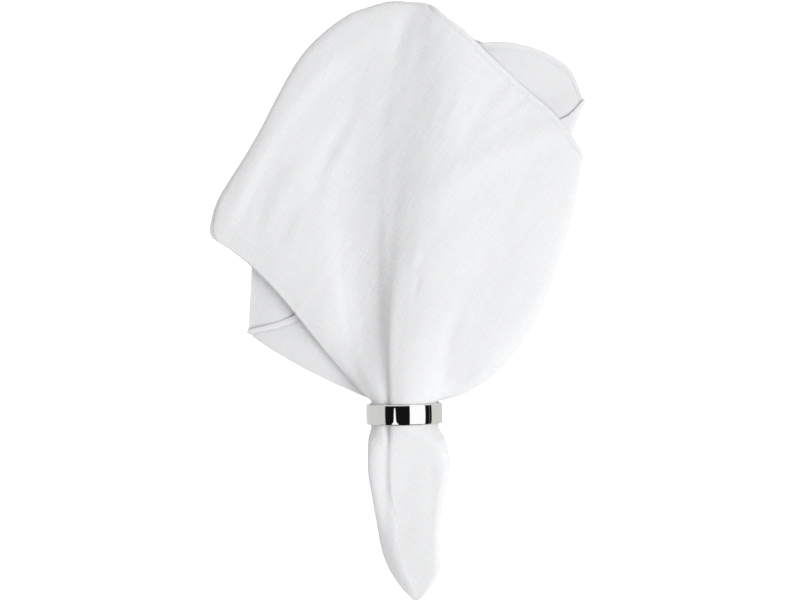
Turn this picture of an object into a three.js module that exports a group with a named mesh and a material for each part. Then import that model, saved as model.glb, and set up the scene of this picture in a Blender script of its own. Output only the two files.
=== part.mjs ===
// A square linen napkin, folded in four, with its closed corner drawn through a polished metal ring.
// The closed corner is the tip of the tail. The ring gathers the four layers, and beyond it they open into
// a fan: the front layer lies over a second, a third and the one on the table, each joined to the next
// by a fold, and the lowest to the front by the fold down the right side.
// Millimetres, +Z up, +Y from the tail to the fan. The origin is the bottom centre of the whole object's box.
import * as THREE from "three";

// Driving dimensions
const ringRadius = 22.3;
const ringWall = 1.4;
const ringWidth = 11.9;
const ringEdge = 0.4;
const ringSides = 96;
const ringTurn = THREE.MathUtils.degToRad(1.2);
const clothThickness = 1.1;
const ringGap = 0.5;
const mouthGap = 2;
const tuckRadius = 4.5;
const tipSink = 0.3;
const tailTurnStep = 1.5;

// Mesh steps. The stations of the fan are crowded towards the ring and the hem.
const tailSteps = 9;
const ringSteps = 1;
const fanSteps = 18;
const fanCrowding = 0.6;
const stepLength = 19;

// Values that follow from the sizes above
const halfTurn = Math.PI / ringSides;
const ringCentreZ = ringRadius * Math.cos(halfTurn);
const restZ = clothThickness / 2;
const bundleRadius = (ringRadius - ringWall) * Math.cos(halfTurn) - ringGap - clothThickness / 2;
const mouthY = ringWidth / 2 + mouthGap;

// Each fold line of the cloth, in order round the gathered section. In the tail it lies at the angle
// tailTurn. It passes the ring at ringX, ringZ (shares of the bundle's radius, from the ring's axis),
// leaves it in the plan direction leave, and meets the hem at hemX, hemY in the direction arrive.
// throatZ, waistZ, upperZ and hemZ are its heights on the way, at the shares of its run named below. tuck is
// the length of cloth turned under beyond the hem's place, and roll the radius of a fold back on itself.
const throatShare = 0.22;
const waistShare = 0.45;
const upperShare = 0.72;
const foldColumns = [
  "name", "tailTurn", "ringX", "ringZ", "leave", "hemX", "hemY", "arrive",
  "throatZ", "waistZ", "upperZ", "hemZ", "tuck", "roll",
];
const foldRows = [
  ["valley", 119, -0.49, 0.64, 93, 3, 238, 78, 28, 23.2, 18, 10.5, 13, 0],
  ["valleyLeft", 122, -0.55, 0.66, 97, -8, 238.5, 86, 24.8, 21.8, 16.8, 10, 14, 0],
  ["leftCrest", 128, -0.64, 0.7, 112, -33, 230, 104, 22, 19.3, 15.4, 10.5, 15, 0],
  ["leftShoulder", 139, -0.76, 0.63, 122, -58, 207, 122, 22, 18.5, 15.8, 12.5, 14, 0],
  ["leftEdge", 148, -0.86, 0.49, 128, -84, 159, 140, 22.5, 19.3, 17, 15.5, 11, 0],
  ["leftCorner", 152, -0.93, 0.36, 134, -108, 120, 155, 21, 18.2, 16.5, 15, 4, 0],
  ["leftFold", 157, -0.955, 0.2, 139, -111.4, 106, 146, 18, 15.4, 13.6, 12, 0, 1.7],
  ["secondLeft", 163, -0.6, 0.04, 124, -81, 146, 130, 16, 14, 11, 8, 0, 0],
  ["secondMiddle", 168, -0.06, 0.04, 95, -10, 228, 92, 13, 12.5, 11, 7, 0, 0],
  ["secondRight", 172, 0.36, 0.08, 68, 58, 188, 62, 16, 13, 11, 8.5, 0, 0],
  ["secondLip", 175, 0.54, 0.02, 54, 92, 173, 60, 13.6, 11.5, 9.6, 7.6, 0, 0],
  ["innerFold", 179, 0.72, -0.12, 42, 106, 183, 66, 11.4, 9.4, 7.6, 5.8, 0, 1.7],
  ["thirdRight", 184, 0.46, -0.32, 58, 94, 203, 62, 8, 6.2, 5, 3.8, 0, 0],
  ["thirdTop", 188, 0.2, -0.36, 72, 60, 219.5, 74, 6, 5.4, 4.8, 4.2, 0, 0],
  ["thirdMiddle", 192, -0.1, -0.34, 92, 2, 211, 90, 5.5, 4.8, 4.4, 4, 0, 0],
  ["thirdLeft", 197, -0.4, -0.28, 117, -64, 168, 116, 7.4, 6, 5, 4.6, 0, 0],
  ["lip", 203, -0.62, -0.24, 136, -67, 60, 128, 14, 12, 10.5, 8.5, 0, 0],
  ["backFold", 210, -0.9, -0.42, 158, -93, 48, 142, 11.5, 9.5, 7.5, 5, 0, 1.7],
  ["underLeft", 228, -0.7, -0.71, 136, -91, 70, 132, 1, 0.5, 1.2, 3, 0, 0],
  ["underLeftMiddle", 246, -0.42, -0.9, 112, -80, 158, 120, 0.5, 0.5, 0.5, 1, 0, 0],
  ["underMiddle", 269, -0.02, -1, 90, -6, 228, 92, 0.5, 0.5, 0.5, 0.5, 0, 0],
  ["underRight", 297, 0.45, -0.89, 66, 72, 204, 66, 0.5, 0.5, 0.5, 0.5, 0, 0],
  ["underEdge", 323, 0.8, -0.6, 30, 97, 150, 80, 1, 0.6, 0.6, 0.6, 0, 0],
  ["outerFold", 353, 0.99, -0.12, 8, 105, 150, 80, 25, 22, 16.5, 9.5, 0, 0],
  ["sideBulge", 369, 0.96, 0.16, 18, 104.5, 153.5, 78, 31.5, 27.5, 21, 12, 0, 0],
  ["sideValley", 391, 0.84, 0.5, 72, 90, 174.2, 56, 34.5, 31, 25, 12.8, 0, 0],
  ["rightShoulder", 414, 0.56, 0.82, 82, 70, 192.3, 60, 36.5, 33, 26.7, 13, 0, 0],
  ["rightMiddle", 432, 0.26, 0.96, 86, 47, 213.3, 72, 37, 33.2, 27.6, 14.5, 0, 0],
  ["rightBrow", 446, 0, 0.995, 88, 36, 224.2, 80, 36.3, 32.5, 27, 16.5, 0, 0],
  ["rightCrest", 461, -0.22, 0.95, 90, 25, 231.6, 88, 35.2, 31.5, 26, 16.8, 1, 0],
  ["rightBrink", 470, -0.38, 0.87, 94, 17, 235.8, 88, 33.5, 28.6, 23.4, 15, 4, 0],
  ["valleyRight", 475, -0.45, 0.67, 94, 11, 237.4, 82, 30.5, 25, 20.4, 12.6, 10, 0],
];
const folds = foldRows.map((row) => Object.fromEntries(foldColumns.map((column, i) => [column, row[i]])));

// The tail below the ring: a row for each section at a distance along it, with the outline's left and right
// side, its top, the place of its crest as a share of the width, how round the section is (1 is an oval, less
// is squarer), how far its right side is raised, and how much of the ring's pleating is left there.
const tailColumns = ["along", "left", "right", "top", "crest", "roundness", "lean", "pleating"];
const tailRows = [
  [0, -bundleRadius, bundleRadius, ringCentreZ + bundleRadius, 0.5, 1, 0, 1],
  [8, -21.6, 24, 40, 0.5, 0.6, 1, 0.4],
  [22, -21.8, 26, 36, 0.48, 0.6, 3, 0.2],
  [44, -18.6, 22, 29, 0.44, 0.7, 4, 0.1],
  [66, -15.2, 20, 22, 0.36, 1, 4, 0.04],
  [82, -9.8, 20.4, 16.5, 0.31, 1, 3.5, 0],
  [94, -2.6, 15, 11, 0.38, 1, 1.5, 0],
  [101, 3, 10.6, 6, 0.48, 1, 0, 0],
];
const tail = tailRows.map((row) => Object.fromEntries(tailColumns.map((column, i) => [column, row[i]])));
const tailLength = tail.at(-1).along;
const tailSettled = tail[2].along;

const linen = new THREE.MeshStandardMaterial({ color: 0xeeeef0, roughness: 0.9, metalness: 0 });
const polishedSteel = new THREE.MeshStandardMaterial({ color: 0xc9c9c7, roughness: 0.06, metalness: 1 });

// A cubic from a to b that starts with the slope out and ends with the slope back.
function hermite(a, b, out, back, u) {
  const rest = 1 - u;
  const places = a * (1 + 2 * u) * rest * rest + b * (1 + 2 * rest) * u * u;
  return places + out * u * rest * rest - back * u * u * rest;
}

// A smooth value through knots, each [place, value], that never swings past them.
function between(knots, place) {
  const last = knots.length - 1;
  let i = 0;
  while (i < last - 1 && place > knots[i + 1][0]) i++;
  const rise = (k) => (knots[k + 1][1] - knots[k][1]) / (knots[k + 1][0] - knots[k][0]);
  const slope = (k) => {
    const [before, after] = [rise(Math.max(k - 1, 0)), rise(Math.min(k, last - 1))];
    return before * after > 0 ? (2 * before * after) / (before + after) : 0;
  };
  const [start, end] = [knots[i], knots[i + 1]];
  const span = end[0] - start[0];
  return hermite(start[1], end[1], slope(i) * span, slope(i + 1) * span, (place - start[0]) / span);
}

// Where a fold line passes through the ring, at a place along the ring's axis.
function ringPoint(fold, y) {
  return new THREE.Vector3(fold.ringX * bundleRadius, y, ringCentreZ + fold.ringZ * bundleRadius);
}

// A point of a fold line in the fan. share is 0 at the ring's mouth and 1 at the hem.
function fanPoint(fold, share) {
  const start = ringPoint(fold, mouthY);
  const run = Math.hypot(fold.hemX - start.x, fold.hemY - start.y);
  const laid = run / (run + fold.tuck);
  const u = Math.min(share / laid, 1);
  const leave = THREE.MathUtils.degToRad(fold.leave);
  const arrive = THREE.MathUtils.degToRad(fold.arrive);
  const heights = [
    [0, start.z],
    [throatShare, fold.throatZ],
    [waistShare, fold.waistZ],
    [upperShare, fold.upperZ],
    [1, fold.hemZ],
  ];
  const turn = (Math.max(share - laid, 0) * (run + fold.tuck)) / tuckRadius;
  const beyond = tuckRadius * Math.sin(turn);
  const x = hermite(start.x, fold.hemX, run * Math.cos(leave), run * Math.cos(arrive), u);
  const y = hermite(start.y, fold.hemY, run * Math.sin(leave), run * Math.sin(arrive), u);
  const z = between(heights, u) - tuckRadius * (1 - Math.cos(turn));
  return new THREE.Vector3(x + beyond * Math.cos(arrive), y + beyond * Math.sin(arrive), Math.max(z, restZ));
}

// The section through the fold lines' points, with each fold that has a roll opened into a half round of
// that radius. runs are the directions of the fold lines there.
function rounded(points, runs) {
  const count = points.length;
  return folds.flatMap((fold, i) => {
    if (fold.roll === 0) return [points[i]];
    const toNeighbour = (k) => points[k].clone().sub(points[i]).projectOnPlane(runs[i]).normalize();
    const [before, after] = [toNeighbour((i + count - 1) % count), toNeighbour((i + 1) % count)];
    const opening = before.clone().add(after).normalize();
    const across = runs[i].clone().cross(opening);
    across.multiplyScalar(Math.sign(across.dot(after.sub(before))));
    const toward = (way) => opening.clone().addScaledVector(across, way);
    const side = (way) => toward(way).multiplyScalar(fold.roll).add(points[i]);
    return [side(-1), points[i], side(1)];
  });
}

// The section in the ring, at a place along its axis.
function ringSection(y) {
  const runs = folds.map(() => new THREE.Vector3(0, 1, 0));
  return rounded(folds.map((fold) => ringPoint(fold, y)), runs);
}

// The section in the fan, at a share of the way from the ring's mouth to the hem.
function fanSection(share) {
  const shortStep = 0.02;
  const points = folds.map((fold) => fanPoint(fold, share));
  const runs = folds.map((fold, i) => points[i].clone().sub(fanPoint(fold, share - shortStep)).normalize());
  return rounded(points, runs);
}

// The angle of each point of the section in the plain part of the tail.
const tailTurns = folds
  .flatMap((fold) => (fold.roll ? [-tailTurnStep, 0, tailTurnStep] : [0]).map((turn) => fold.tailTurn + turn))
  .map(THREE.MathUtils.degToRad);

// A share of a round section's half width or height, made squarer by a power below 1.
function squared(share, power) {
  return Math.sign(share) * Math.abs(share) ** power;
}

// The section in the tail, at a distance below the ring's mouth: the ring's pleats even out to a plain
// outline.
function tailSection(along) {
  const [left, right, top, crest, roundness, lean, pleating] = tailColumns
    .slice(1)
    .map((name) => between(tail.map((row) => [row.along, row[name]]), along));
  const lift = Math.max(0, 1 - along / tailSettled);
  const bottom = lift * (ringCentreZ - bundleRadius) + (1 - lift) * (restZ - tipSink);
  return ringSection(0).map((point, i) => {
    const pleated = point.setZ(point.z - ringCentreZ).divideScalar(bundleRadius);
    const across = pleating * pleated.x + (1 - pleating) * squared(Math.cos(tailTurns[i]), roundness);
    const up = pleating * pleated.z + (1 - pleating) * squared(Math.sin(tailTurns[i]), roundness);
    const x = left + (right - left) * (crest + across * (across < 0 ? crest : 1 - crest));
    const level = (top + bottom) / 2 + ((top - bottom) / 2) * up;
    const z = level + (lean * Math.max(across, 0) * (1 + up)) / 2;
    return new THREE.Vector3(x, -mouthY - along, Math.max(z, restZ));
  });
}

// The sections from the tip of the tail to the hem.
function stations() {
  const rows = [];
  for (let i = tailSteps; i > 0; i--) {
    rows.push(tailSection(tailLength * Math.sin(((Math.PI / 2) * i) / tailSteps)));
  }
  for (let i = 0; i <= ringSteps; i++) {
    rows.push(ringSection(mouthY * ((2 * i) / ringSteps - 1)));
  }
  for (let i = 1; i <= fanSteps; i++) {
    const round = 2 * Math.PI;
    const share = i / fanSteps;
    rows.push(fanSection(share - (fanCrowding * Math.sin(round * share)) / round));
  }
  return rows;
}

// How many steps a section takes from each of its points to the next, by the widest gap between them.
function stepsBetween(rows) {
  return rows[0].map((point, i) => {
    const next = (i + 1) % rows[0].length;
    const widest = Math.max(...rows.map((points) => points[i].distanceTo(points[next])));
    return Math.ceil(widest / stepLength);
  });
}

// The cloth's middle surface as a grid: one closed curve at each station.
function middleSurface() {
  const rows = stations();
  const steps = stepsBetween(rows);
  return rows.map((points) => {
    const curve = new THREE.CatmullRomCurve3(points, true, "centripetal");
    const section = [];
    steps.forEach((count, i) => {
      for (let k = 0; k < count; k++) section.push(curve.getPoint((i + k / count) / points.length));
    });
    section.forEach((point) => point.setZ(Math.max(point.z, restZ)));
    return section;
  });
}

// The directions across the cloth at each point of the grid, pointing out of the gathered section.
function acrossCloth(grid) {
  const count = grid[0].length;
  return grid.map((section, j) => {
    const before = grid[Math.max(j - 1, 0)];
    const after = grid[Math.min(j + 1, grid.length - 1)];
    return section.map((point, i) => {
      const around = section[(i + 1) % count].clone().sub(section[(i + count - 1) % count]);
      const along = after[i].clone().sub(before[i]);
      return along.cross(around).normalize();
    });
  });
}

// The napkin as one closed sheet: the middle surface thickened to both sides, closed at the tip and the hem.
function napkinGeometry() {
  const grid = middleSurface();
  const across = acrossCloth(grid);
  const [height, count] = [grid.length, grid[0].length];
  const points = [];
  for (const side of [1, -1]) {
    grid.forEach((section, j) =>
      section.forEach((point, i) => {
        const moved = point.clone().addScaledVector(across[j][i], (side * clothThickness) / 2);
        points.push(moved.setZ(Math.max(moved.z, 0)));
      }),
    );
  }
  const tip = grid[0].reduce((sum, point) => sum.add(point), new THREE.Vector3()).divideScalar(count);
  const tipOut = points.push(tip.clone().add(new THREE.Vector3(0, -clothThickness, 0))) - 1;
  const tipIn = points.push(tip) - 1;
  const outer = (j, i) => j * count + (i % count);
  const inner = (j, i) => (height + j) * count + (i % count);
  const faces = [];
  const quad = (a, b, c, d) => faces.push(a, b, c, a, c, d);
  for (let i = 0; i < count; i++) {
    for (let j = 0; j + 1 < height; j++) {
      quad(outer(j, i), outer(j + 1, i), outer(j + 1, i + 1), outer(j, i + 1));
      quad(inner(j, i), inner(j, i + 1), inner(j + 1, i + 1), inner(j + 1, i));
    }
    quad(outer(height - 1, i), inner(height - 1, i), inner(height - 1, i + 1), outer(height - 1, i + 1));
    faces.push(tipOut, outer(0, i), outer(0, i + 1));
    faces.push(tipIn, inner(0, i + 1), inner(0, i));
  }
  return new THREE.BufferGeometry().setFromPoints(points).setIndex(faces);
}

// The ring's band, turned about its axis, with its edges eased.
function ringGeometry() {
  const [inside, outside, half] = [ringRadius - ringWall, ringRadius, ringWidth / 2];
  const profile = [
    [inside + ringEdge, -half],
    [outside - ringEdge, -half],
    [outside, ringEdge - half],
    [outside, half - ringEdge],
    [outside - ringEdge, half],
    [inside + ringEdge, half],
    [inside, half - ringEdge],
    [inside, ringEdge - half],
    [inside + ringEdge, -half],
  ];
  const outline = profile.map(([radius, along]) => new THREE.Vector2(radius, along));
  return new THREE.LatheGeometry(outline, ringSides).rotateY(halfTurn);
}

const napkin = new THREE.Mesh(napkinGeometry(), linen);
napkin.name = "napkin";

const ring = new THREE.Mesh(ringGeometry(), polishedSteel);
ring.name = "napkin_ring";
ring.position.z = ringCentreZ;
ring.rotation.z = ringTurn;

const part = new THREE.Group();
part.add(napkin, ring);
const middle = new THREE.Box3().setFromObject(part, true).getCenter(new THREE.Vector3());
part.position.set(-middle.x, -middle.y, 0);

export default part;
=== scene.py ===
import math

import bpy
import numpy as np
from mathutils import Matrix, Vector, noise


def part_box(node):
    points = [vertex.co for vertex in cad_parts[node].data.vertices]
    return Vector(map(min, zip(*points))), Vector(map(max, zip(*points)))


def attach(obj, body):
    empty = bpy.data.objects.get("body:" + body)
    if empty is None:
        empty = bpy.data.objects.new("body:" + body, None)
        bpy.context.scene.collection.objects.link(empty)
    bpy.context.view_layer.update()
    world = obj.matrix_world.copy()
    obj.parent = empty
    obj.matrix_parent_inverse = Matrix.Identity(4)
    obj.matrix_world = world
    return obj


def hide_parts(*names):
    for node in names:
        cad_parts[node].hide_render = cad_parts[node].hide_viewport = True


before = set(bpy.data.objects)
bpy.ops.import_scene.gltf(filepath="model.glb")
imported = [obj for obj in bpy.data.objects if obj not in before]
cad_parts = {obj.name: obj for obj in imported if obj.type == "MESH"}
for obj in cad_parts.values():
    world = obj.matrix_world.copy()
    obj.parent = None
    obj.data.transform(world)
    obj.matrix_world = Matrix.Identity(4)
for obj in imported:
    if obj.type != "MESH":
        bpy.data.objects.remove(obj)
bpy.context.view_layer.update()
mm = 0.001

# The ring's axis runs along Y. Lengths are in millimetres from the middle of the ring, but in metres in
# linenLook, threadLook, steelLook, floorLook and lampLook.
ringLow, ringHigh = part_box("napkin_ring")
ringSpot = np.array([(ringLow[0] + ringHigh[0]) / 2, (ringLow[1] + ringHigh[1]) / 2, 0.0])

ringSize = {
    "radius": 22.3,
    "wall": 1.4,
    "width": 11.9,
    "edge": 0.7,          # radius of the eased edges
    "edgeSteps": 6,
    "crown": 0.22,        # how far the band swells in the middle of its width
    "bandSteps": 10,
    "sides": 256,
    "turn": 1.2,          # degrees off square on the cloth
    "along": 0.4,         # moved up the cloth from the solid's place
}

clothSize = {
    "flatSide": 450.0,
    "thickness": 0.6,
    "ringGap": 0.6,
    "mouthGap": 2.0,
    "tuckRadius": 4.5,
    "rollShare": 0.4,     # a roll's most, as a share of the way to the next fold line
    "runStep": 0.02,      # share of a run looked back over for its direction
    "throat": 0.22,       # shares of a fold line's run where throatZ, waistZ and upperZ hold
    "waist": 0.45,
    "upper": 0.72,
    "tailTurnStep": 1.5,  # degrees to each side of a roll
    "liftEnd": 22.0,      # where the tail comes down on the table, below the mouth
    "tipSink": 0.15,
    "tailFlat": 0.2,      # how oblong the right half of the tail is
    "tailSteps": 32,
    "ringSteps": 4,
    "fanSteps": 62,
    "hemSteps": 17,
    "hemShare": 0.05,     # end of each run that takes the hem's finer steps
    "frontStep": 2.05,    # the most from column to column
    "hiddenStep": 5.0,
    "leastLevel": 0.02,   # least level step along a section, for the threads
    "hemWidth": 3.0,
    "hemThickness": 1.0,
    "hemEase": 0.8,
    "seamPlace": 3.5,     # the line of stitches, from the edge
    "seamDip": 0.5,       # cloth pinched by the stitches
    "seamSink": 0.3,      # and drawn in
    "seamWidth": 0.75,
}

ringCentreZ = ringSize["radius"]
restZ = clothSize["thickness"] / 2
bundleRadius = ringSize["radius"] - ringSize["wall"] - clothSize["ringGap"] - restZ
mouthY = ringSize["width"] / 2 + clothSize["mouthGap"]

# Each fold line, in order round the gathered section: its angle in the tail, where it passes the ring
# (shares of the bundle's radius), the way it leaves, where and how it meets the hem, its heights on the way,
# the length turned under past the hem's place and the radius of a fold back on itself.
foldColumns = (
    "name", "tailTurn", "ringX", "ringZ", "leave", "hemX", "hemY", "arrive",
    "throatZ", "waistZ", "upperZ", "hemZ", "tuck", "roll",
)
foldRows = (
    ("valley", 92, -0.49, 0.64, 93, 3, 238, 78, 28, 22.7, 17.4, 10.2, 13, 0),
    ("valleyLeft", 93, -0.55, 0.66, 97, -8, 238.5, 86, 24.2, 20.8, 16, 9.6, 14, 0),
    ("leftCrest", 96, -0.64, 0.7, 112, -33, 230, 104, 20.8, 18, 14.4, 9.6, 15, 0),
    ("leftShoulder", 106, -0.76, 0.63, 122, -58, 207, 122, 20.7, 17.6, 14.8, 12, 14, 0),
    ("leftEdge", 122, -0.86, 0.49, 128, -84, 159, 140, 21.8, 19.7, 17.2, 15, 11, 0),
    ("leftCorner", 135, -0.93, 0.36, 134, -107.3, 119, 155, 21.5, 19.3, 17.3, 14.6, 9, 0),
    ("leftTip", 144, -0.95, 0.28, 136.5, -109.8, 103, 152, 20.3, 18.2, 15.8, 12.8, 6, 0),
    ("leftFold", 152, -0.955, 0.2, 139, -104.8, 98, 146, 18.5, 16.6, 13.6, 10.8, 2, 1.5),
    ("secondLeft", 160, -0.6, 0.04, 124, -81, 146, 130, 16, 14.2, 12.4, 10.6, 0, 0),
    ("secondMiddle", 167, -0.06, 0.04, 95, -10, 228, 92, 13.4, 13, 11.8, 8, 0, 0),
    ("secondRight", 172, 0.36, 0.08, 68, 58, 188, 62, 16, 15, 14.2, 12.4, 0, 0),
    ("secondLip", 175, 0.54, 0.02, 54, 92, 173, 60, 15, 13.8, 12.6, 11.4, 0, 0),
    ("innerFold", 179, 0.72, -0.12, 42, 106.8, 184.6, 66, 13, 11.6, 10.2, 8.8, 0, 1.0),
    ("thirdRight", 184, 0.46, -0.32, 58, 96.6, 204.2, 62, 10, 9.4, 9, 8.4, 0, 0),
    ("thirdTop", 188, 0.2, -0.36, 72, 60, 218.6, 74, 8.5, 9, 10.8, 11, 0, 0),
    ("thirdMiddle", 192, -0.1, -0.34, 92, 6, 207, 90, 6.5, 5.6, 5.6, 5.8, 0, 0),
    ("thirdLeft", 197, -0.4, -0.28, 117, -64, 168, 116, 9.6, 9.4, 9.2, 8.4, 0, 0),
    ("lip", 203, -0.62, -0.24, 136, -58, 64, 128, 15, 14, 12.4, 9, 0, 0),
    ("backFold", 210, -0.9, -0.42, 158, -93, 48, 142, 12, 10.8, 9, 5.3, 0, 0.75),
    ("underLeft", 228, -0.7, -0.71, 136, -91, 70, 132, 1, 1.6, 7.2, 3.4, 0, 0),
    ("underLeftMiddle", 246, -0.42, -0.9, 112, -80, 158, 120, 0.3, 1.6, 6.4, 6, 0, 0),
    ("underMiddle", 269, -0.02, -1, 90, -6, 228, 92, 0.3, 0.3, 0.3, 0.3, 0, 0),
    ("underRight", 297, 0.45, -0.89, 66, 72, 204, 66, 0.3, 0.3, 0.3, 0.3, 0, 0),
    ("underEdge", 323, 0.8, -0.6, 30, 97, 150, 80, 1, 0.6, 0.6, 0.6, 0, 0),
    ("outerFold", 353, 0.99, -0.12, 8, 105, 150, 80, 25, 22, 16.5, 9.5, 0, 0),
    ("sideBulge", 369, 0.96, 0.16, 18, 104.5, 153.5, 78, 31.5, 27.5, 21, 12, 0, 0),
    ("sideValley", 391, 0.84, 0.5, 72, 90, 174.2, 56, 34.5, 31, 25, 13.2, 0, 0),
    ("rightShoulder", 414, 0.56, 0.82, 82, 70, 192.3, 60, 36.5, 33, 26.7, 12.6, 0, 0),
    ("rightMiddle", 432, 0.26, 0.96, 86, 47, 213.3, 72, 37, 33.2, 27.6, 15.4, 0, 0),
    ("rightBrow", 446, 0.0, 0.995, 88, 36, 224.2, 80, 36.3, 32.5, 27.2, 16.6, 0, 0),
    ("rightCrest", 450.3, -0.22, 0.95, 90, 25, 231.6, 88, 35.2, 31.5, 26, 16, 1, 0),
    ("rightBrink", 450.8, -0.38, 0.87, 94, 17, 235.8, 88, 33.5, 28.6, 23.2, 14, 4, 0),
    ("valleyRight", 451.5, -0.45, 0.67, 94, 11, 237.4, 82, 30.5, 25, 20, 11.6, 10, 0),
)
folds = [dict(zip(foldColumns, row)) for row in foldRows]
frontFolds = ("outerFold", "leftFold")     # the front layer lies between these two, over the valley
backFolds = ("innerFold", "thirdRight", "thirdTop", "thirdMiddle", "thirdLeft")

# The tail at distances below the ring's mouth: its outline, where its crest lies across it, how oblong its left
# half is, how much its right half rises, and how much of the pleating is left
tailColumns = ("along", "left", "right", "top", "crest", "facet", "lean", "pleating")
tailRows = (
    (0, -bundleRadius, bundleRadius, ringCentreZ + bundleRadius, 0.5, 0.22, 0, 1),
    (8, -21.6, 24, 40, 0.5, 0.22, 1, 0.16),
    (22, -21.8, 26, 36, 0.48, 0.22, 3, 0.11),
    (44, -18.6, 22, 29, 0.44, 0.28, 4, 0.08),
    (66, -15.2, 20, 22, 0.36, 1.1, 4, 0.04),
    (82, -9.8, 20.4, 16.5, 0.31, 1.7, 3.5, 0),
    (94, -2.6, 15, 11, 0.38, 1.6, 1.5, 0),
    (100, 2.4, 11.2, 6.8, 0.47, 1.3, 0.2, 0),
    (104, 6.1, 7.7, 2.4, 0.5, 1.2, 0, 0),
)
tail = [dict(zip(tailColumns, row)) for row in tailRows]

# Creases listed one by one, in plan, bowed to the left of their run: soft ridges where the height is above
# nought, troughs where it is below
creaseColumns = ("layer", "x1", "y1", "x2", "y2", "bow", "leftWidth", "rightWidth", "height")
creaseRows = (
    ("front", -105, 107, -66, 180, 3, 4, 4, 1.0),
    ("front", -74, 170, -10, 229, 5, 5, 5, 0.9),
    ("front", -95, 112, -72, 154, 2, 4, 4, -0.8),
    ("front", -87, 103, -60, 158, 6, 3.2, 3.2, -0.7),
    ("front", -82, 106, -57, 146, 3, 3.5, 3.5, 0.5),
    ("front", -74, 96, -48, 140, 2, 3.2, 3.2, -0.6),
    ("front", -66, 106, -40, 152, 3, 4, 4, 0.6),
    ("front", -58, 120, -24, 184, 3, 4.5, 4.5, -0.9),
    ("front", -46, 130, -14, 196, 3, 5, 5, 0.7),
    ("front", -9, 150, -6, 212, 6, 7, 7, -0.4),
    ("front", -6, 206, 7, 240, 2, 5, 5, -1.2),
    ("front", 16, 122, 60, 155, 4, 8, 8, 1.4),
    ("front", 56, 152, 96, 169, 1, 7, 7, 1.2),
    ("front", 53.5, 173.5, 72, 187, -1, 1.6, 1.6, -0.6),
    ("front", 53, 168, 71, 181, 0, 2, 2, 0.4),
    ("front", 52, 162, 69, 175.5, 1, 1.6, 1.6, -0.5),
    ("front", 38, 166, 56, 178, -2, 2, 2, -0.4),
    ("front", 30, 150, 62, 200, 3, 3.5, 3.5, -0.6),
    ("front", 22, 160, 44, 206, 2, 3.5, 3.5, 0.5),
    ("front", 32, 62, 22, 16, -2, 4, 4, -0.8),
    ("front", 9, 79, 5, 69, 0, 1.6, 1.6, -0.6),
    ("front", 2, 84, 9, 95, 0, 1.8, 1.8, 0.5),
    ("tail", -8, -72, 4, -104, -2, 3, 3, 0.8),
    ("tail", -8.3, -10, -6.9, -72, 0, 7, 2.2, 0.8),
    ("tail", 16, -30, 12, -80, 2, 4, 4, -0.6),
    ("tail", -11.3, -8, -9.9, -72, 0, 2, 5, -0.8),
    ("back", 40, 205, 88, 196, 3, 4, 4, 0.6),
    ("back", 62, 196, 84, 176, 1, 3, 3, -0.6),
    ("back", 87, 171, 108, 185, 0, 9, 3, 2.0),
)
creases = [dict(zip(creaseColumns, row)) for row in creaseRows]
creaseSize = {
    "pathPoints": 25,
    "endShare": 0.04,     # how far in from nought the taper begins
    "taperPower": 0.7,
}


def hermite(a, b, out, back, u):
    rest = 1 - u
    start = a * (1 + 2 * u) * rest * rest + out * u * rest * rest
    return start + b * u * u * (3 - 2 * u) - back * u * u * rest


# A smooth value through the knots, each a place and a value, that never swings past them
def between(knots, place):
    last = len(knots) - 1
    i = 0
    while i < last - 1 and place > knots[i + 1][0]:
        i += 1

    def slope(k):
        before, after = (
            (knots[n + 1][1] - knots[n][1]) / (knots[n + 1][0] - knots[n][0])
            for n in (max(k - 1, 0), min(k, last - 1))
        )
        return 2 * before * after / (before + after) if before * after > 0 else 0.0

    start, end = knots[i], knots[i + 1]
    span = end[0] - start[0]
    return hermite(start[1], end[1], slope(i) * span, slope(i + 1) * span, (place - start[0]) / span)


def unit(v):
    return v / np.linalg.norm(v)


def ease(x):
    x = np.clip(x, 0, 1)
    return x * x * (3 - 2 * x)


def ringPoint(fold, y):
    return np.array([fold["ringX"] * bundleRadius, y, ringCentreZ + fold["ringZ"] * bundleRadius])


def fanPoint(fold, share):
    start = ringPoint(fold, mouthY)
    run = math.hypot(fold["hemX"] - start[0], fold["hemY"] - start[1])
    laid = run / (run + fold["tuck"])
    u = min(share / laid, 1)
    leave, arrive = math.radians(fold["leave"]), math.radians(fold["arrive"])
    heights = [(0, start[2]), (1, fold["hemZ"])]
    heights[1:1] = [(clothSize[part], fold[part + "Z"]) for part in ("throat", "waist", "upper")]
    turn = max(share - laid, 0) * (run + fold["tuck"]) / clothSize["tuckRadius"]
    beyond = clothSize["tuckRadius"] * math.sin(turn)
    x = hermite(start[0], fold["hemX"], run * math.cos(leave), run * math.cos(arrive), u)
    y = hermite(start[1], fold["hemY"], run * math.sin(leave), run * math.sin(arrive), u)
    z = between(heights, u) - clothSize["tuckRadius"] * (1 - math.cos(turn))
    return np.array([x + beyond * math.cos(arrive), y + beyond * math.sin(arrive), max(z, restZ)])


# A fold with a roll opens into a half round across the fold line's own direction
def rounded(points, runs):
    section = []
    for i, fold in enumerate(folds):
        point, run, roll = points[i], runs[i], fold["roll"]
        if not roll:
            section.append(point)
            continue
        sides = [points[i - 1] - point, points[(i + 1) % len(points)] - point]
        sides = [side - run * np.dot(side, run) for side in sides]
        roll = min(roll, clothSize["rollShare"] * min(np.linalg.norm(side) for side in sides))
        sides = [unit(side) for side in sides]
        opening = unit(sides[0] + sides[1])
        across = np.cross(run, opening)
        across *= np.sign(np.dot(across, sides[1] - sides[0]))
        section += [point + (opening - across) * roll, point, point + (opening + across) * roll]
    return section


def ringSection(y):
    straight = np.array([0.0, 1.0, 0.0])
    return rounded([ringPoint(fold, y) for fold in folds], [straight] * len(folds))


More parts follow.
